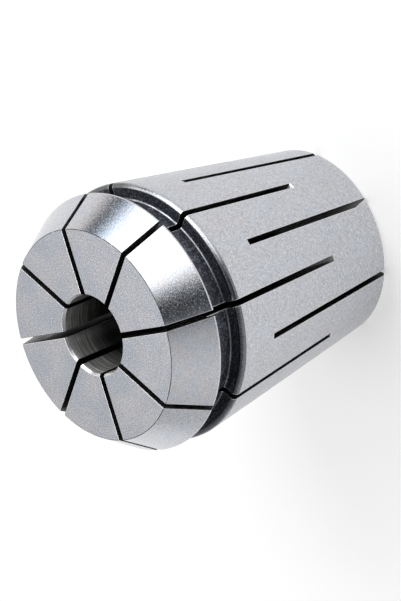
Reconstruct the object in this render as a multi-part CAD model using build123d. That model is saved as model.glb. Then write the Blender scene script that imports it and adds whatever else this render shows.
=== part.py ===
from build123d import *
import os
from math import cos, radians, sqrt, tan

# A size 32 spring collet for a 10 mm shank: one piece of spring steel, turned, sawn, hardened
# and ground. It stands on its small rear end with the nose up. +Z is the axis, z = 0 is the
# rear end and the front slot that heads along +X sets the X axis. All sizes are millimetres.

# ---- driving dimensions: turned form ----
overall_length = 40.0          # rear end to nose face
body_diameter = 33.0           # largest diameter, over the rounded front edge of the long taper
taper_half_angle = 8.0         # long rear taper that seats in the holder, degrees
rear_chamfer = 0.5             # at the small end, 45 degrees

head_length = 5.5              # nose face to the front wall of the groove
nose_half_angle = 30.0         # short front cone that the clamping nut bears on, degrees
nose_step = 0.05               # the nose's radius is this much under the body's
nose_land = 0.3                # cylindrical land between the front cone and the groove
land_chamfer = 0.1             # where the land meets the groove, 45 degrees

groove_width = 3.6             # the nut's eccentric ring snaps into this groove
groove_depth = 1.9             # below the body's largest radius
groove_corner_radius = 0.3     # in both corners of the groove's floor
body_edge_radius = 0.55        # rounded front edge of the long taper

# ---- driving dimensions: bore ----
bore_diameter = 10.0           # the shank that is clamped
bore_chamfer = 0.27            # at both mouths of the bore, 45 degrees

# ---- driving dimensions: saw slots ----
slots_per_end = 8              # sawn from the nose, and as many from the rear, in between
slot_width = 0.7               # thickness of the saw
slot_offset = 0.6              # the slots' middle planes pass the axis at this distance
uncut_behind_front_slots = 10.6    # solid length left at the rear, on the outside
uncut_before_rear_slots = 15.6     # solid length left at the nose, on the outside
saw_diameter = 63.0            # its rim leaves the curved run-out at each slot's end
saw_clearance = 1.5            # between the saw's rim and the far side of the bore
saw_overrun = 2.0              # the saw passes this far out of the piece

# ---- worked out from them ----
body_radius = body_diameter / 2
bore_radius = bore_diameter / 2
nose_radius = body_radius - nose_step
groove_radius = body_radius - groove_depth
taper = tan(radians(taper_half_angle))
groove_front_z = overall_length - head_length
groove_rear_z = groove_front_z - groove_width
land_front_z = groove_front_z + nose_land
face_radius = nose_radius - (head_length - nose_land) * tan(radians(nose_half_angle))
# The rounded edge takes the corner off the taper, so the taper's own line meets the groove's
# rear wall a little outside the body's largest radius.
edge_gain = 1 / cos(radians(taper_half_angle)) + taper - 1
taper_front_radius = body_radius + body_edge_radius * edge_gain


def taper_radius(z):
    """Outer radius of the long taper at height z."""
    return taper_front_radius - (groove_rear_z - z) * taper


def turned_blank():
    """The collet before it is sawn: its half section, revolved about the axis."""
    rear_radius = taper_radius(rear_chamfer)
    outline = [
        # radius, height, corner radius
        (bore_radius, bore_chamfer, 0),
        (bore_radius + bore_chamfer, 0, 0),
        (rear_radius - rear_chamfer, 0, 0),
        (rear_radius, rear_chamfer, 0),
        (taper_front_radius, groove_rear_z, body_edge_radius),
        (groove_radius, groove_rear_z, groove_corner_radius),
        (groove_radius, groove_front_z, groove_corner_radius),
        (nose_radius - land_chamfer, groove_front_z, 0),
        (nose_radius, groove_front_z + land_chamfer, 0),
        (nose_radius, land_front_z, 0),
        (face_radius, overall_length, 0),
        (bore_radius + bore_chamfer, overall_length, 0),
        (bore_radius, overall_length - bore_chamfer, 0),
    ]
    points = [(r, z) for r, z, corner in outline]
    corners = [corner for r, z, corner in outline]
    with BuildPart() as blank:
        with BuildSketch(Plane.XZ):
            with BuildLine():
                FilletPolyline(*points, radius=corners, close=True)
            make_face()
        revolve(axis=Axis.Z)
    return blank.part


def saw_cut(end_z, open_z):
    """What one pass of the saw takes away, in the +X half of the piece.

    The saw cuts through one wall into the bore, running in from open_z, beyond the piece. It
    stops where its rim stands at height end_z on the taper, so the slot is longest on the
    outside and runs out along the rim's arc towards the bore.
    """
    saw_radius = saw_diameter / 2
    reach = saw_clearance - bore_radius
    axle_radius = reach + saw_radius
    half_chord = sqrt(saw_radius ** 2 - (axle_radius - taper_radius(end_z)) ** 2)
    inwards = 1 if open_z > end_z else -1
    axle_z = end_z + inwards * half_chord
    outer = max(axle_radius, body_radius) + saw_overrun
    with BuildPart() as cut:
        with BuildSketch(Plane.XZ.offset(slot_offset)):
            with Locations((axle_radius, axle_z)):
                Circle(saw_radius)
            with Locations(((reach + outer) / 2, (axle_z + open_z) / 2)):
                Rectangle(outer - reach, abs(open_z - axle_z))
        extrude(amount=slot_width / 2, both=True)
    return cut.part


def collet():
    """The blank with slots sawn from both ends, the rear ones halfway between the front ones."""
    front_cut = saw_cut(uncut_behind_front_slots, overall_length + saw_diameter)
    rear_cut = saw_cut(overall_length - uncut_before_rear_slots, -saw_diameter)
    pitch = 360 / slots_per_end
    cuts = []
    for i in range(slots_per_end):
        cuts.append(front_cut.rotate(Axis.Z, i * pitch))
        cuts.append(rear_cut.rotate(Axis.Z, (i + 0.5) * pitch))
    return turned_blank() - cuts


os.makedirs("parts", exist_ok=True)
export_step(collet(), "parts/collet.step")
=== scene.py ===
from math import cos, pi, radians, sin, tan

import bpy
import numpy as np
from mathutils import Matrix, Vector


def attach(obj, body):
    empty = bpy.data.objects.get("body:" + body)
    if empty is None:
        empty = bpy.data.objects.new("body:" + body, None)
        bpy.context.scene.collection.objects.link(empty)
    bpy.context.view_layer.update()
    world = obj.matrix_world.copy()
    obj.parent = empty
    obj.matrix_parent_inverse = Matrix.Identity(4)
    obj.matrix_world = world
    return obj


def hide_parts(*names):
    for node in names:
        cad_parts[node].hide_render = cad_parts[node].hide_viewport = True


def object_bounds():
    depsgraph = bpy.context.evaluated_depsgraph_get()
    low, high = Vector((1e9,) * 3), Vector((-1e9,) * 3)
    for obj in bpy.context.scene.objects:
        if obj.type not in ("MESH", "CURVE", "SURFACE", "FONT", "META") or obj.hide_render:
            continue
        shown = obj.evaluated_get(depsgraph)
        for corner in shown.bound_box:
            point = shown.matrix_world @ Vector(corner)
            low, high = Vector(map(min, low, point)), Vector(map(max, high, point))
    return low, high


# A size 32 spring collet stands on its small rear end, nose up. Lengths are metres.

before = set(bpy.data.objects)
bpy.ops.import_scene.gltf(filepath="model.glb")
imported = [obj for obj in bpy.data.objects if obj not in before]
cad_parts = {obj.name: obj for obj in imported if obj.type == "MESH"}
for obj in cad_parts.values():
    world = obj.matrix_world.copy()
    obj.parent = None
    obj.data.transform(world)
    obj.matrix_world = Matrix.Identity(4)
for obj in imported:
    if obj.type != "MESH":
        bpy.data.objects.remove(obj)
cad_low, cad_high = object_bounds()

# ---- the collet's sizes ----
MM = 0.001
LENGTH = cad_high.z - cad_low.z
BODY_RADIUS = 16.5 * MM            # largest, over the rounded front edge of the long taper
TAPER_ANGLE = radians(8)           # long rear taper, each side
REAR_CHAMFER = 0.5 * MM
HEAD_LENGTH = 5.5 * MM             # nose face to the groove
NOSE_ANGLE = radians(30)           # short front cone, each side
NOSE_STEP = 0.05 * MM              # the nose's radius is this much under the body's
NOSE_LAND = 0.3 * MM               # between the cone and the groove
GROOVE_WIDTH = 3.6 * MM
GROOVE_DEPTH = 1.9 * MM
GROOVE_CORNER = 0.3 * MM           # rounding in both corners of the groove's floor
BODY_EDGE = 0.55 * MM              # rounding of the long taper's front edge
BORE_RADIUS = 5.0 * MM
BORE_CHAMFER = 0.27 * MM
EDGE_BREAK = 0.1 * MM              # rounding left on turned edges
SCALE_WIDTH = 0.74 * MM            # unground band behind the groove, over the rounded edge

SLOTS_PER_END = 8
SLOT_WIDTH = 0.7 * MM
SLOT_OFFSET = 0.6 * MM             # the slots' middle planes pass the axis at this distance
SLOT_EDGE = 0.09 * MM              # rounding left on sawn edges
UNCUT_AT_REAR = 10.6 * MM          # outside, behind the slots sawn from the nose
UNCUT_AT_NOSE = 15.6 * MM          # outside, before the slots sawn from the rear
SAW_RADIUS = 31.5 * MM
SAW_CLEARANCE = 1.5 * MM           # between the saw's rim and the far side of the bore

# ---- worked out from them ----
TAPER = tan(TAPER_ANGLE)
NOSE_RADIUS = BODY_RADIUS - NOSE_STEP
GROOVE_RADIUS = BODY_RADIUS - GROOVE_DEPTH
GROOVE_FRONT = LENGTH - HEAD_LENGTH
GROOVE_REAR = GROOVE_FRONT - GROOVE_WIDTH
LAND_FRONT = GROOVE_FRONT + NOSE_LAND
FACE_RADIUS = NOSE_RADIUS - (LENGTH - LAND_FRONT) * tan(NOSE_ANGLE)
# The rounded edge takes the corner off the taper, so the taper's own line meets the groove's
# rear wall a little outside the body's largest radius.
TAPER_FRONT_RADIUS = BODY_RADIUS + BODY_EDGE * (1 / cos(TAPER_ANGLE) + TAPER - 1)
FRONT_SLOT_END = UNCUT_AT_REAR     # height where the front slots end on the taper
REAR_SLOT_END = LENGTH - UNCUT_AT_NOSE
SAW_AXLE_RADIUS = SAW_RADIUS + SAW_CLEARANCE - BORE_RADIUS


def taper_radius(z):
    """The long taper's radius at height z: it falls by TAPER for each unit below the groove."""
    return TAPER_FRONT_RADIUS - (GROOVE_REAR - z) * TAPER


def axle_height(end_z, side):
    """Height of the saw's axle when its rim crosses the taper at end_z; side is +1 above it."""
    reach = SAW_AXLE_RADIUS - taper_radius(end_z)
    return end_z + side * (SAW_RADIUS ** 2 - reach ** 2) ** 0.5


def bore_end_height(end_z, side):
    """Height where the rim of the same saw crosses the wall of the bore."""
    reach = SAW_AXLE_RADIUS - BORE_RADIUS
    return axle_height(end_z, side) - side * (SAW_RADIUS ** 2 - reach ** 2) ** 0.5


# ---- the half section ----
# Each corner is its radius, height, rounding, own finish and the finish of the straight after it.
# A slot's mark lies a rounding's width beyond the slot's end.
FRONT_MARK = (taper_radius(FRONT_SLOT_END - SLOT_EDGE), FRONT_SLOT_END - SLOT_EDGE)
REAR_MARK = (taper_radius(REAR_SLOT_END + SLOT_EDGE), REAR_SLOT_END + SLOT_EDGE)
SCALE_MARK = (taper_radius(GROOVE_REAR - SCALE_WIDTH), GROOVE_REAR - SCALE_WIDTH)
FRONT_BORE_MARK = (BORE_RADIUS, bore_end_height(FRONT_SLOT_END, 1) - SLOT_EDGE)
REAR_BORE_MARK = (BORE_RADIUS, bore_end_height(REAR_SLOT_END, -1) + SLOT_EDGE)
REAR_RADIUS = taper_radius(REAR_CHAMFER)

SECTION = [
    (BORE_RADIUS, BORE_CHAMFER, EDGE_BREAK, "edge", "edge"),
    (BORE_RADIUS + BORE_CHAMFER, 0, EDGE_BREAK, "edge", "rear"),
    (REAR_RADIUS - REAR_CHAMFER, 0, EDGE_BREAK, "edge", "edge"),
    (REAR_RADIUS, REAR_CHAMFER, EDGE_BREAK, "edge", "taper"),
    (*FRONT_MARK, 0, "taper", "taper"),
    (*REAR_MARK, 0, "taper", "taper"),
    (*SCALE_MARK, 0, "taper", "body_edge"),
    (TAPER_FRONT_RADIUS, GROOVE_REAR, BODY_EDGE, "body_edge", "groove"),
    (GROOVE_RADIUS, GROOVE_REAR, GROOVE_CORNER, "groove", "groove"),
    (GROOVE_RADIUS, GROOVE_FRONT, GROOVE_CORNER, "groove", "groove"),
    (NOSE_RADIUS, GROOVE_FRONT, EDGE_BREAK, "groove", "cone"),
    (NOSE_RADIUS, LAND_FRONT, EDGE_BREAK, "cone", "cone"),
    (FACE_RADIUS, LENGTH, EDGE_BREAK, "rim", "face"),
    (BORE_RADIUS + BORE_CHAMFER, LENGTH, EDGE_BREAK, "mouth", "mouth"),
    (BORE_RADIUS, LENGTH - BORE_CHAMFER, EDGE_BREAK, "mouth", "bore"),
    (*FRONT_BORE_MARK, 0, "bore", "bore"),
    (*REAR_BORE_MARK, 0, "bore", "bore"),
]
CORNER_STEPS = 6                   # rows round each rounded corner
ROW_SPACING = 1.0 * MM             # least stretch between the rows of a straight
LAND_COLUMNS = 12                  # faces side by side between one slot and the next


class Section:
    """The half section as rows round its outline: radius, height, outward normal and finish.

    Each corner is an arc whose normal swings evenly from one straight's to the next's, about a
    centre that lies the rounding inside (or, in a hollow corner, outside) the outline.
    The mark of a corner is the number of its first row.
    """

    def __init__(self):
        corner = np.array([c[:2] for c in SECTION])
        rounding = np.array([c[2] for c in SECTION])
        finish = [c[3:] for c in SECTION]
        ahead = np.roll(corner, -1, 0) - corner
        ahead /= np.linalg.norm(ahead, axis=1)[:, None]
        behind = np.roll(ahead, 1, 0)
        swing = np.arctan2(behind[:, 0] * ahead[:, 1] - behind[:, 1] * ahead[:, 0],
                           (behind * ahead).sum(1))
        setback = rounding * np.tan(np.abs(swing) / 2)
        start = corner - behind * setback[:, None]
        end = corner + ahead * setback[:, None]
        leaning = np.arctan2(-behind[:, 0], behind[:, 1])
        points, normals, names, self.mark = [], [], [], {}
        for i, (bend, straight) in enumerate(finish):
            self.mark[SECTION[i][:2]] = len(names)
            steps = CORNER_STEPS if rounding[i] else 0
            lean = leaning[i] + swing[i] * np.linspace(0, 1, steps + 1)
            out = np.column_stack([np.cos(lean), np.sin(lean)])
            pull = np.sign(swing[i]) * rounding[i]
            points.append(start[i] + pull * (out - out[0]))
            run = start[(i + 1) % len(finish)] - end[i]
            cuts = int(np.hypot(*run) / ROW_SPACING)
            share = np.linspace(0, 1, cuts + 2)[1:-1, None]
            points.append(end[i] + share * run)
            normals += [out, np.repeat(out[-1:], cuts, 0)]
            names += [bend] * steps + [straight] * (1 + cuts)
        self.points = np.concatenate(points)
        self.normals = np.concatenate(normals)
        self.finish = np.array(names)

    def rows(self, first, last):
        """Row numbers from first to last in the order of the outline, past its start if need be."""
        count = (last - first) % len(self.points) + 1
        return (first + np.arange(count)) % len(self.points)


# ---- patches of the surface ----
class Skin:
    """Grids of points with their true normals, gathered into one closed mesh."""

    WELD = 0.0001 * MM             # points this close are one

    def __init__(self):
        self.points, self.normals, self.faces, self.finish = [], [], [], []
        self.count = 0

    def add_points(self, points, normals):
        """Stores a grid's points and normals, and gives the number of its first point."""
        self.points.append(points.reshape(-1, 3))
        self.normals.append(np.broadcast_to(normals, points.shape).reshape(-1, 3))
        first = self.count
        self.count += points.shape[0] * points.shape[1]
        return first

    def add_grid(self, points, normals, finish):
        """Quads between neighbours of a grid, turned to face along the normals."""
        first = self.add_points(points, normals)
        rows, columns = points.shape[:2]
        at = first + np.arange(rows * columns).reshape(rows, columns)
        quads = np.stack([at[:-1, :-1], at[1:, :-1], at[1:, 1:], at[:-1, 1:]], -1)
        cross = np.cross(points[1:, :-1] - points[:-1, 1:], points[1:, 1:] - points[:-1, :-1])
        facing = (cross * np.broadcast_to(normals, points.shape)[:-1, :-1]).sum()
        if facing < 0:
            quads = quads[..., ::-1]
        self.faces += quads.reshape(-1, 4).tolist()
        names = np.broadcast_to(np.asarray(finish).reshape(-1, 1), quads.shape[:2])
        self.finish.append(names.ravel())

    def add_plate(self, loop, normal, finish):
        """One flat face inside a closed loop of points, turned to face along its normal."""
        first = self.add_points(loop[:, None], normal)
        ring = np.arange(first, first + len(loop))
        area = np.cross(loop, np.roll(loop, -1, 0)).sum(0)
        self.faces.append((ring if area @ normal > 0 else ring[::-1]).tolist())
        self.finish.append(np.array([finish]))

    def merged(self):
        """Points that coincide become one, so patches join without a seam."""
        points = np.concatenate(self.points)
        key = np.round(points / self.WELD).astype(np.int64)
        first, index = np.unique(key, axis=0, return_index=True, return_inverse=True)[1:]
        return points[first], index.ravel()


def turned(points, angle):
    """Points or normals turned about the collet's axis by an angle, in radians."""
    matrix = np.array([[cos(angle), sin(angle), 0], [-sin(angle), cos(angle), 0], [0, 0, 1]])
    return points @ matrix


def beside_plane(section_points, lateral):
    """Points of the section at a set distance beside the radial plane through +X."""
    radius, height, lateral = np.broadcast_arrays(
        section_points[..., 0], section_points[..., 1], lateral)
    return np.stack([np.sqrt(radius ** 2 - lateral ** 2), lateral, height], -1)


def outward(section_normals, points):
    """The section's normals swung round the axis to where each point stands."""
    round_axis = points[..., :2] / np.linalg.norm(points[..., :2], axis=-1, keepdims=True)
    flat = section_normals[..., :1] * round_axis
    along = np.broadcast_to(section_normals[..., 1:], (*points.shape[:-1], 1))
    return np.concatenate([flat, along], -1)


class Slot:
    """One saw slot in the plane through +X: its rounded rim, two flat walls and its run-out.

    It is open along the section's rows from first to last, and its run-out meets the taper at
    height end_z. Its edge is the line where surface and walls would meet unrounded: the same
    rows, with both ends moved in by the rounding.
    """

    ACROSS = np.array([-0.5, 0.0, 0.5])
    ROUND_STEPS = 4
    RIM_FINISH = ("edge", "wall", "wall", "wall")      # bright at the surface, dark from there in
    RUNOUT_STEPS = 24

    def __init__(self, section, first, last, end_z, side):
        self.section = section
        self.rows = section.rows(first, last)
        self.beyond = section.rows(last, first)
        self.axle = np.array([SAW_AXLE_RADIUS, axle_height(end_z, side)])
        self.rim_lateral = -SLOT_OFFSET + self.ACROSS * (SLOT_WIDTH + 2 * SLOT_EDGE)
        self.wall_lateral = -SLOT_OFFSET + self.ACROSS * SLOT_WIDTH
        edge = section.points[self.rows]
        travel = np.diff(edge[[0, 1, -2, -1]], axis=0)[[0, 2]]
        travel /= np.linalg.norm(travel, axis=1)[:, None]
        self.edge = edge.copy()
        self.edge[0] += SLOT_EDGE * travel[0]
        self.edge[-1] -= SLOT_EDGE * travel[1]

    def run_out(self, lateral):
        """The saw rim's arc between the slot's two ends, and its normals towards the axle.

        Along it the angle about the axle and the distance from it both go evenly from the
        values at one end to those at the other. It starts and stops a rounding's width in.
        """
        ends = beside_plane(self.edge[[0, -1]], lateral)
        arm = ends[:, [0, 2]] - self.axle
        angle = np.arctan2(arm[:, 1], arm[:, 0])
        reach = np.linalg.norm(arm, axis=1)
        inset = SLOT_EDGE / (reach.mean() * abs(angle[1] - angle[0]))
        share = np.linspace(inset, 1 - inset, self.RUNOUT_STEPS + 1)
        angle = angle[0] + share * (angle[1] - angle[0])
        reach = reach[0] + share * (reach[1] - reach[0])
        x = self.axle[0] + reach * np.cos(angle)
        z = self.axle[1] + reach * np.sin(angle)
        normals = -np.column_stack([np.cos(angle), np.zeros(len(angle)), np.sin(angle)])
        return np.column_stack([x, np.full(len(x), lateral), z]), normals

    def rounding(self, surface, corner, wall, surface_normal, wall_normal):
        """Rows that turn from the surface into the wall: a quadratic curve bent to the corner."""
        t = np.linspace(0, 1, self.ROUND_STEPS + 1)[:, None, None]
        points = (1 - t) ** 2 * surface + 2 * t * (1 - t) * corner + t ** 2 * wall
        normals = (1 - t) * surface_normal + t * wall_normal
        normals /= np.linalg.norm(normals, axis=-1, keepdims=True)
        return points, normals

    def cover(self, skin, angle):
        """Adds the slot, turned to its place: bridge beyond it, rims, walls and run-out."""
        section = self.section

        def place(points, normals, finish):
            skin.add_grid(turned(points, angle), turned(normals, angle), finish)

        bridge = beside_plane(section.points[self.beyond][:, None], self.rim_lateral)
        bridge_normals = outward(section.normals[self.beyond][:, None], bridge)
        place(bridge, bridge_normals, section.finish[self.beyond[:-1]])

        arcs = [self.run_out(lateral) for lateral in self.wall_lateral]
        bed = np.stack([points for points, normals in arcs], 1)
        bed_normals = np.stack([normals for points, normals in arcs], 1)
        place(bed, bed_normals, "runout")

        for end in (0, -1):
            rim = beside_plane(section.points[self.rows[[end]]], self.rim_lateral)
            corner = beside_plane(self.edge[[end]], self.wall_lateral)
            rim_normals = outward(section.normals[self.rows[[end]]], rim)
            place(*self.rounding(rim, corner, bed[end], rim_normals, bed_normals[end]), "edge")

        for column, wall_normal in ((0, (0, 1.0, 0)), (-1, (0, -1.0, 0))):
            wall_normal = np.array(wall_normal)
            rim = beside_plane(section.points[self.rows], self.rim_lateral[column])
            corner = beside_plane(self.edge, self.wall_lateral[column])
            inward = np.insert(section.normals[self.rows], 1, 0, axis=1)
            wall = corner - SLOT_EDGE * inward
            wall[[0, -1]] = bed[[0, -1], column]
            rim_normals = outward(section.normals[self.rows], rim)
            place(*self.rounding(rim, corner, wall, rim_normals, wall_normal), self.RIM_FINISH)
            loop = np.concatenate([wall, bed[-2:0:-1, column]])
            skin.add_plate(turned(loop, angle), turned(wall_normal, angle), "wall")


def between_slots(skin, section, start, start_angle, stop, stop_angle):
    """The turned surface from one slot's rim to the next one's, all round the section.

    At each row the angle goes evenly from one rim's to the other's; a rim keeps its distance
    beside its slot's plane, so its angle there is that plane's plus an arcsine.
    """
    every = np.append(np.arange(len(section.points)), 0)
    radius, height = section.points[every].T
    low = start_angle + np.arcsin(start.rim_lateral[-1] / radius)
    high = stop_angle + np.arcsin(stop.rim_lateral[0] / radius)
    angle = low[:, None] + (high - low)[:, None] * np.linspace(0, 1, LAND_COLUMNS + 1)
    points = np.stack([radius[:, None] * np.cos(angle), radius[:, None] * np.sin(angle),
                       np.broadcast_to(height[:, None], angle.shape)], -1)
    normals = outward(section.normals[every][:, None], points)
    skin.add_grid(points, normals, section.finish[every[:-1]])


def collet_skin():
    """The collet's whole surface: sixteen slots and the turned surface between them."""
    section = Section()
    mark = section.mark
    skin = Skin()
    front = Slot(section, mark[FRONT_MARK], mark[FRONT_BORE_MARK], FRONT_SLOT_END, 1)
    rear = Slot(section, mark[REAR_BORE_MARK], mark[REAR_MARK], REAR_SLOT_END, -1)
    pitch = 2 * pi / SLOTS_PER_END
    for i in range(SLOTS_PER_END):
        here, half = i * pitch, (i + 0.5) * pitch
        front.cover(skin, here)
        rear.cover(skin, half)
        between_slots(skin, section, front, here, rear, half)
        between_slots(skin, section, rear, half, front, here + pitch)
    return skin


def collet_piece(materials):
    """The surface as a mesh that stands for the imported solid, one material to each finish."""
    skin = collet_skin()
    points, index = skin.merged()
    faces = [[int(index[i]) for i in face] for face in skin.faces]
    mesh = bpy.data.meshes.new("collet_ground")
    mesh.from_pydata(points.tolist(), [], faces)
    names = list(materials)
    for name in names:
        mesh.materials.append(materials[name])
    finish = np.concatenate(skin.finish)
    number = np.array([names.index(name) for name in finish], np.int32)
    mesh.polygons.foreach_set("material_index", number)
    normals = np.concatenate(skin.normals)
    corners = np.concatenate([np.asarray(face) for face in skin.faces])
    mesh.normals_split_custom_set(normals[corners].tolist())
    piece = bpy.data.objects.new("collet_ground", mesh)
    bpy.context.scene.collection.objects.link(piece)
    return piece


# ---- finishes ----
class Nodes:
    """One node tree, and short ways to add to it. A value is a plain one or a node's output."""

    def __init__(self, tree):
        self.tree = tree

    def add(self, kind):
        return self.tree.nodes.new(kind)

    def link(self, source, socket):
        self.tree.links.new(source, socket)

    def feed(self, socket, value):
        """Links another node's output to the socket, or sets the socket to a plain value."""
        if isinstance(value, bpy.types.NodeSocket):
            self.link(value, socket)
        else:
            socket.default_value = value

    def math(self, operation, *values):
        """The result of a sum, such as MULTIPLY, with its values."""
        node = self.add("ShaderNodeMath")
        node.operation = operation
        for socket, value in zip(node.inputs, values):
            self.feed(socket, value)
        return node.outputs[0]

    def blend(self, share, first, second):
        """A colour between the first, at share 0, and the second, at share 1."""
        node = self.add("ShaderNodeMix")
        node.data_type = "RGBA"
        self.feed(node.inputs["Factor"], share)
        for socket, colour in ((node.inputs[6], first), (node.inputs[7], second)):
            self.feed(socket, (*colour, 1) if isinstance(colour, tuple) else colour)
        return node.outputs[2]


class Finish(Nodes):
    """A steel finish whose nodes read the collet's own millimetres.

    The roughness given is its middle value. Its metallic share is 1 for bare steel.
    """

    def __init__(self, name, roughness, metallic=1.0, anisotropy=0.0):
        self.material = bpy.data.materials.new(name)
        self.material.use_nodes = True
        super().__init__(self.material.node_tree)
        self.shader = self.tree.nodes["Principled BSDF"]
        self.shader.inputs["Metallic"].default_value = metallic
        self.shader.inputs["Roughness"].default_value = roughness
        place = self.add("ShaderNodeTexCoord").outputs["Object"]
        self.place = self.vector("SCALE", place, Scale=1 / MM)
        self.level = self.vector("MULTIPLY", self.place, (1, 1, 0))
        self.radius = self.vector("LENGTH", self.level)
        self.height = self.vector("DOT_PRODUCT", self.place, (0, 0, 1))
        if anisotropy:
            tangent = self.add("ShaderNodeTangent")
            tangent.direction_type = "RADIAL"
            tangent.axis = "Z"
            self.shader.inputs["Anisotropic"].default_value = anisotropy
            self.link(tangent.outputs["Tangent"], self.shader.inputs["Tangent"])

    def vector(self, operation, first, second=(0, 0, 0), **named):
        """The result of a vector sum. Named values go to the sockets of those names."""
        node = self.add("ShaderNodeVectorMath")
        node.operation = operation
        self.feed(node.inputs[0], first)
        self.feed(node.inputs[1], second)
        for name, value in named.items():
            self.feed(node.inputs[name], value)
        return node.outputs["Value" if operation in ("LENGTH", "DOT_PRODUCT") else "Vector"]

    def noise(self, place, size, detail=2.0, rough=0.5, distortion=0.0):
        """Cloudy noise from 0 to 1 whose lumps are about as large as size, in millimetres."""
        node = self.add("ShaderNodeTexNoise")
        self.link(place, node.inputs["Vector"])
        node.inputs["Scale"].default_value = 1 / size
        node.inputs["Detail"].default_value = detail
        node.inputs["Roughness"].default_value = rough
        node.inputs["Distortion"].default_value = distortion
        return node.outputs["Fac"]

    def mottle(self, size, **named):
        """Noise in lumps of the given size, in millimetres, the same in every direction."""
        return self.noise(self.place, size, **named)

    def turning(self, length, width, **named):
        """Streaks round the axis: z less the radius stays the same along each of them."""
        across = self.math("MULTIPLY", self.math("SUBTRACT", self.height, self.radius), 1 / width)
        along = self.vector("SCALE", self.level, Scale=1 / length)
        join = self.add("ShaderNodeCombineXYZ")
        self.link(across, join.inputs["Z"])
        return self.noise(self.vector("ADD", along, join.outputs[0]), 1.0, **named)

    def saw_lines(self, across, along, **named):
        """Lines along the axis: so many lumps of noise to the millimetre across and along it."""
        place = self.vector("MULTIPLY", self.place, (across, across, along))
        return self.noise(place, 1.0, **named)

    def rub_and_painted_highlight_side(self):
        """1 on the side of a painted highlight, also taken as the side that the nut's ring rubs, 0
        on the rest, with soft ends.
        """
        side = (cos(RUB_AND_PAINTED_HIGHLIGHT_SIDE), sin(RUB_AND_PAINTED_HIGHLIGHT_SIDE), 0)
        facing = self.vector("DOT_PRODUCT", self.vector("NORMALIZE", self.level), side)
        return self.spread(facing, 0, 1, 0.84, 0.92)

    def spread(self, value, low, high, from_low=0.3, from_high=0.7):
        """The value stretched from its own range, that of noise, to the range low to high."""
        node = self.add("ShaderNodeMapRange")
        self.feed(node.inputs["Value"], value)
        node.inputs["From Min"].default_value = from_low
        node.inputs["From Max"].default_value = from_high
        node.inputs["To Min"].default_value = low
        node.inputs["To Max"].default_value = high
        return node.outputs["Result"]

    def tone(self, colour, *shades):
        """The colour times each shade, a number near 1 that varies over the surface."""
        for shade in shades:
            colour = self.vector("SCALE", colour, Scale=shade)
        self.link(colour, self.shader.inputs["Base Color"])

    def roughen(self, value):
        """The roughness, varied over the surface about its middle value."""
        self.link(value, self.shader.inputs["Roughness"])

    def relief(self, height, depth):
        """Surface relief of the given depth, in millimetres, on the shader's normal."""
        node = self.add("ShaderNodeBump")
        node.inputs["Distance"].default_value = depth * MM
        node.inputs["Strength"].default_value = 1.0
        self.link(height, node.inputs["Height"])
        self.link(node.outputs["Normal"], self.shader.inputs["Normal"])


COOL_STEEL = (0.578, 0.604, 0.658)
STEEL = (0.586, 0.608, 0.652)
WARM_STEEL = (0.616, 0.608, 0.632)
RUB_AND_PAINTED_HIGHLIGHT_SIDE = radians(-42)         # azimuth of the painted highlight, also taken as where the nut's eccentric ring rubs


def ground_face():
    """The flat nose face: satin from the cup wheel, mottled, with faint rings."""
    f = Finish("ground_face", 0.26)
    cloud = f.mottle(3.2, detail=0.5)
    speckle = f.mottle(0.2, detail=3, rough=0.8)
    rings = f.turning(2.0, 0.16)
    f.tone(f.blend(f.spread(cloud, 0, 0.8, 0.36, 0.64), COOL_STEEL, WARM_STEEL),
           f.spread(speckle, 0.68, 1.2), f.spread(rings, 0.96, 1.03))
    f.roughen(f.spread(f.math("ADD", cloud, speckle), 0.24, 0.28, 0.7, 1.3))
    f.relief(f.math("ADD", speckle, rings), 0.007)
    return f.material


def scribed_rim():
    """The narrow dark line where the ground face meets the cone, broken by wear in a few places."""
    f = Finish("scribed_rim", 0.4)
    line = (0.07, 0.07, 0.075)
    wear_and_painted_light = (0.4, 0.4, 0.41)
    nick = f.mottle(0.6, detail=3)
    f.tone(f.blend(f.spread(nick, 0, 1, 0.58, 0.7), line, wear_and_painted_light))
    f.relief(nick, 0.005)
    return f.material


def polished_cone():
    """The 30 degree cone the nut presses on: ground fine, then polished by use."""
    f = Finish("polished_cone", 0.13, anisotropy=0.3)
    cloud = f.mottle(1.4, detail=3)
    streak = f.turning(0.8, 0.12, detail=3)
    speckle = f.mottle(0.18, detail=3, rough=0.8)
    f.tone(f.blend(f.spread(cloud, 0, 1, 0.38, 0.62), COOL_STEEL, WARM_STEEL),
           f.spread(streak, 0.9, 1.06), f.spread(speckle, 0.62, 1.24))
    f.roughen(f.spread(speckle, 0.08, 0.34, 0.4, 0.72))
    f.relief(f.math("ADD", f.math("MULTIPLY", streak, 0.5), speckle), 0.014)
    return f.material


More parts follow.
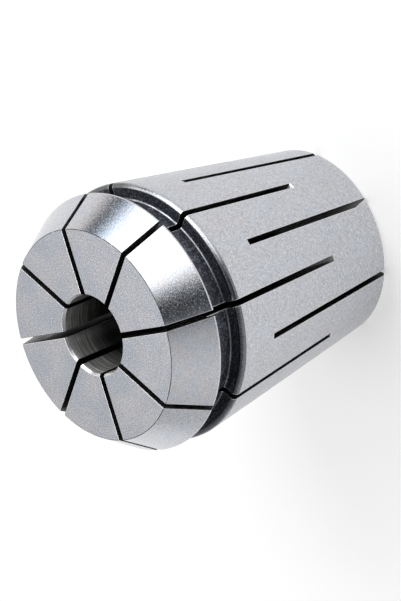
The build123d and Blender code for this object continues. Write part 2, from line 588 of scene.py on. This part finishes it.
def scaled_groove():
    """The nut's groove isn't ground: dark heat treatment scale with small bare specks.

    A bright line is painted along the fillet at the foot of the rear wall, in places, strongest on
    the side of the painted highlight: partly rub, partly painted highlight.
    """
    f = Finish("scaled_groove", 0.42, metallic=0.7)
    scaled = (0.032, 0.035, 0.046)
    bare = (0.26, 0.27, 0.31)
    rub_and_highlight = (0.6, 0.61, 0.63)
    scale = f.mottle(0.3, detail=4, rough=0.75)
    rub = f.turning(4.0, 0.3, detail=3)
    patch = f.mottle(2.5, detail=2)
    speck = f.math("MULTIPLY", f.spread(scale, 0, 1, 0.5, 0.62), f.spread(rub, 0.3, 1, 0.35, 0.65))
    rear, floor = GROOVE_REAR / MM, GROOVE_RADIUS / MM
    # Painted highlight: a thin bright line along the fillet, brightest on the painted highlight
    # side.
    off_line = f.math("ABSOLUTE", f.math("SUBTRACT", f.height, rear + 0.12))
    foot = f.spread(off_line, 1, 0, 0.03, 0.09)
    in_fillet = f.spread(f.radius, 1, 0, floor + 0.12, floor + 0.2)
    foot = f.math("MULTIPLY", foot, in_fillet)
    foot = f.math("MULTIPLY", foot, f.spread(f.rub_and_painted_highlight_side(), 0.3, 1, 0, 1))
    foot = f.math("MULTIPLY", foot, f.spread(patch, 0.3, 1))
    f.tone(f.blend(foot, f.blend(speck, scaled, bare), rub_and_highlight), f.spread(patch, 0.8, 1.2))
    f.roughen(f.spread(scale, 0.32, 0.5))
    f.relief(scale, 0.012)
    return f.material


def scaled_edge():
    """The rounded edge behind the groove: grey scale that the grinding wheel never reached.

    One side is painted bright: a painted highlight, also taken as rub where the nut's eccentric
    ring catches the groove.
    """
    f = Finish("scaled_edge", 0.22)
    scale = f.mottle(0.22, detail=4, rough=0.75)
    patch = f.mottle(2.5, detail=2)
    grain = f.spread(scale, 0, 1, 0.35, 0.65)
    scaled = f.blend(grain, (0.09, 0.094, 0.106), (0.22, 0.227, 0.245))
    rub_and_highlight = f.blend(grain, (0.34, 0.35, 0.37), (0.56, 0.57, 0.6))
    # Painted highlight: the brighter colour on one side stands for light falling there, as well as
    # for rub.
    f.tone(f.blend(f.rub_and_painted_highlight_side(), scaled, rub_and_highlight), f.spread(patch, 0.88, 1.1))
    f.roughen(f.spread(scale, 0.16, 0.3))
    f.relief(scale, 0.010)
    return f.material


def ground_taper():
    """The long taper that seats in the holder: ground round, in short fine streaks."""
    f = Finish("ground_taper", 0.36, anisotropy=0.6)
    streak = f.turning(0.4, 0.14, detail=3, rough=0.7)
    cloud = f.mottle(2.4, detail=3)
    speckle = f.mottle(0.2, detail=3, rough=0.8)
    f.tone(f.blend(f.spread(cloud, 0, 1), STEEL, WARM_STEEL),
           f.spread(streak, 0.76, 1.14), f.spread(speckle, 0.62, 1.24))
    f.roughen(f.spread(f.math("ADD", streak, cloud), 0.3, 0.42, 0.75, 1.25))
    f.relief(f.math("ADD", streak, speckle), 0.02)
    return f.material


def burnished_and_highlit_edge():
    """Broken edges, near white: partly burnished by handling and by the nut, partly a painted
    highlight that every edge shows.
    """
    f = Finish("burnished_and_highlit_edge", 0.34)
    # Painted highlight: the near-white colour lets every edge show a bright line from all sides.
    bright = (0.92, 0.92, 0.92)
    nicked = (0.74, 0.74, 0.75)
    nick = f.mottle(0.5, detail=3)
    f.tone(f.blend(f.spread(nick, 0, 1), bright, nicked))
    f.roughen(f.spread(nick, 0.26, 0.42))
    f.relief(nick, 0.004)
    return f.material


def countersunk_mouth():
    """The chamfer at the bore's front mouth: turned smooth, so only one side of it is bright."""
    f = Finish("countersunk_mouth", 0.22)
    furrow = (0.54, 0.54, 0.55)
    ridge = (0.72, 0.72, 0.73)
    rings = f.turning(6.0, 0.1, detail=2)
    f.tone(f.blend(f.spread(rings, 0, 1), furrow, ridge))
    f.roughen(f.spread(rings, 0.18, 0.26))
    f.relief(rings, 0.003)
    return f.material


def sawn_wall():
    """Slot walls as the slitting saw and the furnace left them: dark, with saw lines.

    They are painted lighter towards the nose and the outside and darker towards the bore: painted
    shade deeper in the slot. Near the bore they are also duller.
    """
    f = Finish("sawn_wall", 0.3, metallic=0.8)
    thick = (0.025, 0.025, 0.026)
    thin = (0.06, 0.06, 0.062)
    lines = f.saw_lines(6, 0.6, detail=3)
    cloud = f.mottle(1.5, detail=3)
    nose, bore, face = LENGTH / MM, BORE_RADIUS / MM, FACE_RADIUS / MM
    # Painted shade: the walls darken deeper in the slot, towards the bore and away from the nose.
    near_nose = f.spread(f.height, 0.5, 1.4, nose - 7, nose - 1)
    off_bore = f.spread(f.radius, 0.2, 1.1, bore + 0.5, bore + 6)
    outside = f.spread(f.radius, 1.0, 2.6, face - 0.5, face + 1.5)
    f.tone(f.blend(f.spread(cloud, 0, 1), thick, thin), f.spread(lines, 0.4, 1.6),
           near_nose, off_bore, outside)
    f.shader.inputs["Specular Tint"].default_value = (0.6, 0.6, 0.61, 1)
    dull = f.spread(f.radius, 0.3, 0.0, bore + 0.5, bore + 6)
    f.roughen(f.math("ADD", f.spread(lines, 0.2, 0.38), dull))
    f.relief(lines, 0.004)
    return f.material


def sawn_run_out():
    """The curved floor at a slot's end, painted near white: a painted highlight for the bright
    spots at the slots' ends.
    """
    f = Finish("sawn_run_out", 0.38)
    # Painted highlight: the near-white colour makes each slot's end show bright.
    furrow = (0.82, 0.82, 0.83)
    ridge = (0.93, 0.93, 0.94)
    lines = f.saw_lines(9, 0.5, detail=2)
    f.tone(f.blend(f.spread(lines, 0, 1), furrow, ridge))
    f.roughen(f.spread(lines, 0.32, 0.44))
    f.relief(lines, 0.004)
    return f.material


def reamed_bore():
    """The gripping bore: dark, with rings from the reamer, and painted brighter towards the mouth:
    painted light near the opening and painted shade deeper in.
    """
    f = Finish("reamed_bore", 0.36, metallic=0.75)
    dark = (0.11, 0.11, 0.108)
    light = (0.16, 0.16, 0.157)
    rings = f.turning(6.0, 0.12, detail=1)
    cloud = f.mottle(2.0, detail=3)
    nose = LENGTH / MM
    # Painted light and shade: the bore is brighter towards the mouth and darker deeper in, where
    # shade falls.
    wear_and_painted_light = f.spread(f.height, 0.4, 4.4, nose - 6.5, nose - 0.5)
    f.tone(f.blend(f.spread(cloud, 0, 1), dark, light), f.spread(rings, 0.4, 1.6), wear_and_painted_light)
    f.roughen(f.spread(rings, 0.3, 0.44))
    f.relief(rings, 0.01)
    return f.material


def ground_rear():
    """The small rear end: faced and ground, with plain rings."""
    f = Finish("ground_rear", 0.36)
    rings = f.turning(6.0, 0.18, detail=3)
    cloud = f.mottle(1.6, detail=3)
    f.tone(f.blend(f.spread(cloud, 0, 1), STEEL, WARM_STEEL), f.spread(rings, 0.9, 1.04))
    f.roughen(f.spread(f.math("ADD", rings, cloud), 0.3, 0.42, 0.75, 1.25))
    f.relief(rings, 0.005)
    return f.material


# The finish of each part of the surface, by the names that the half section and slots use.
materials = {
    "face": ground_face(),
    "rim": scribed_rim(),
    "cone": polished_cone(),
    "groove": scaled_groove(),
    "body_edge": scaled_edge(),
    "taper": ground_taper(),
    "edge": burnished_and_highlit_edge(),
    "mouth": countersunk_mouth(),
    "wall": sawn_wall(),
    "runout": sawn_run_out(),
    "bore": reamed_bore(),
    "rear": ground_rear(),
}

collet = collet_piece(materials)
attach(collet, "root")
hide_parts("collet")


# ---- floor, studio, lamps, camera ----
def direction(azimuth, elevation):
    """The unit vector at an azimuth from +X and an elevation above the floor, in degrees."""
    azimuth, elevation = radians(azimuth), radians(elevation)
    return Vector((cos(elevation) * cos(azimuth), cos(elevation) * sin(azimuth), sin(elevation)))


FLOOR_HALF = 0.3                   # half the floor's side
FLOOR_WHITE = (0.9, 0.9, 0.9, 1)
FLOOR_SHARE = 0.5                  # of the floor's look that is plain white, not lit


def white_floor():
    """A wide white floor. Part of its white is its own, so the shadow on it stays faint."""
    mesh = bpy.data.meshes.new("floor")
    around = ((-1, -1), (1, -1), (1, 1), (-1, 1))
    corners = [(x * FLOOR_HALF, y * FLOOR_HALF, 0) for x, y in around]
    mesh.from_pydata(corners, [], [(0, 1, 2, 3)])
    ground = bpy.data.objects.new("floor", mesh)
    bpy.context.scene.collection.objects.link(ground)
    f = Finish("floor_white", 0.9, metallic=0.0)
    f.shader.inputs["Base Color"].default_value = FLOOR_WHITE
    f.shader.inputs["Specular IOR Level"].default_value = 0.0
    rays = f.add("ShaderNodeLightPath").outputs
    seen = f.math("MAXIMUM", rays["Is Camera Ray"], rays["Is Glossy Ray"])
    seen = f.math("MAXIMUM", seen, rays["Is Transmission Ray"])
    white = f.add("ShaderNodeEmission")
    mix = f.add("ShaderNodeMixShader")
    f.link(f.math("MULTIPLY", seen, FLOOR_SHARE), mix.inputs[0])
    f.link(f.shader.outputs[0], mix.inputs[1])
    f.link(white.outputs[0], mix.inputs[2])
    f.link(mix.outputs[0], f.tree.nodes["Material Output"].inputs["Surface"])
    mesh.materials.append(f.material)


# The studio's walls all round: azimuth from +X in degrees, brightness, and how warm it looks.
# The low panels reach up to about 30 degrees of elevation, and the high ones stand above them.
LOW_PANELS = [(-180, 0.68, 0), (-160, 0.8, 0), (-142, 0.86, 0), (-126, 0.72, 0),
              (-108, 0.6, 0), (-101, 0.2, -0.1), (-95, 0.04, -0.1), (-78, 0.04, -0.1),
              (-72, 0.3, -0.05), (-67, 1.2, 0), (-62, 2.0, 0), (-57, 2.3, 0), (-8, 2.3, 0),
              (4, 2.0, -0.1), (12, 0.3, -0.3), (16, 0.02, -0.3), (23, 0.02, -0.1),
              (28, 0.9, 0.05), (40, 1.05, 0.06), (60, 0.9, 0.03), (99, 0.62, 0),
              (160, 0.5, 0), (180, 0.68, 0)]
HIGH_PANELS = [(-180, 0.3, 0), (-64, 0.25, 0), (-42, 1.5, 0), (60, 1.5, 0), (99, 0.52, 0),
               (125, 0.3, 0), (180, 0.3, 0)]
BRIGHTEST = 2.4                    # what a panel's brightness is a share of
CEILING = 0.5                      # the plain ceiling's brightness
LOW_TO_HIGH = (0.375, 0.615)       # sines of elevation between which the panels change over
HIGH_TO_CEILING = (0.88, 0.98)


class Studio(Nodes):
    """The light all round: low panels, high panels and a plain ceiling, blended by height."""

    def __init__(self):
        world = bpy.data.worlds.new("studio")
        bpy.context.scene.world = world
        world.use_nodes = True
        super().__init__(world.node_tree)
        split = self.add("ShaderNodeSeparateXYZ")
        self.link(self.add("ShaderNodeTexCoord").outputs["Generated"], split.inputs[0])
        self.rise = split.outputs["Z"]
        azimuth = self.math("ARCTAN2", split.outputs["Y"], split.outputs["X"])
        self.around = self.math("MULTIPLY_ADD", azimuth, 0.5 / pi, 0.5)
        walls = self.by_height(LOW_TO_HIGH, self.panels(LOW_PANELS), self.panels(HIGH_PANELS))
        level = CEILING / BRIGHTEST
        sky = self.by_height(HIGH_TO_CEILING, walls, (level, level, level))
        background = self.tree.nodes["Background"]
        self.link(sky, background.inputs["Color"])
        background.inputs["Strength"].default_value = BRIGHTEST

    def panels(self, levels):
        """Brightness by azimuth, in shares of the brightest. The ramp runs from -180 to 180."""
        ramp = self.add("ShaderNodeValToRGB")
        self.link(self.around, ramp.inputs[0])
        stops = ramp.color_ramp.elements
        while len(stops) < len(levels):
            stops.new(0.5)
        for stop, (degrees, level, warmth) in zip(stops, levels):
            stop.position = degrees / 360 + 0.5
            share = level / BRIGHTEST
            stop.color = (share * (1 + warmth), share, share * (1 - warmth), 1)
        return ramp.outputs[0]

    def by_height(self, between, below, above):
        """From one colour to another between two sines of the elevation."""
        share = self.add("ShaderNodeMapRange")
        share.interpolation_type = "SMOOTHSTEP"
        share.inputs["From Min"].default_value = between[0]
        share.inputs["From Max"].default_value = between[1]
        self.link(self.rise, share.inputs["Value"])
        return self.blend(share.outputs["Result"], below, above)


def softbox(name, azimuth, elevation, distance, width, height, radiance):
    """A lamp panel that faces the collet. Its power follows from how bright its face is."""
    data = bpy.data.lights.new(name, "AREA")
    data.shape = "RECTANGLE"
    data.size, data.size_y = width, height
    data.energy = radiance * pi * width * height
    lamp = bpy.data.objects.new(name, data)
    bpy.context.scene.collection.objects.link(lamp)
    towards = direction(azimuth, elevation)
    lamp.location = towards * distance + Vector((0, 0, LENGTH / 2))
    lamp.rotation_euler = towards.to_track_quat("Z", "Y").to_euler()


white_floor()
Studio()
softbox("top_softbox", azimuth=99, elevation=71, distance=1.0, width=0.4, height=0.7, radiance=3.0)
softbox("key_softbox", azimuth=-5, elevation=42, distance=1.0, width=0.5, height=0.5, radiance=5.4)

# The camera looks down at the nose and a little across it, from an azimuth and an elevation.
# These and its roll about the line of sight are in degrees.
CAMERA_LENS = 240.5                # focal length in millimetres
SENSOR_WIDTH = 36                  # millimetres
CLIP_NEAR, CLIP_FAR = 0.01, 20
CAMERA_AIM = Vector((-1.209, -0.196, 21.782)) * MM     # a point on the line of sight
CAMERA_DISTANCE = 499.4 * MM       # from that point
CAMERA_AZIMUTH = -80.809
CAMERA_ELEVATION = 41.020
CAMERA_ROLL = 112.943


def camera():
    """The scene's camera, on the line of sight that the values above give."""
    back = direction(CAMERA_AZIMUTH, CAMERA_ELEVATION)
    data = bpy.data.cameras.new("camera")
    data.lens, data.sensor_width = CAMERA_LENS, SENSOR_WIDTH
    data.clip_start, data.clip_end = CLIP_NEAR, CLIP_FAR
    eye = bpy.data.objects.new("camera", data)
    bpy.context.scene.collection.objects.link(eye)
    level = (-back).to_track_quat("-Z", "Y").to_matrix().to_4x4()
    roll = Matrix.Rotation(radians(-CAMERA_ROLL), 4, "Z")
    eye.matrix_world = Matrix.Translation(CAMERA_AIM + back * CAMERA_DISTANCE) @ level @ roll
    bpy.context.scene.camera = eye


camera()
bpy.context.scene.view_settings.view_transform = "Standard"
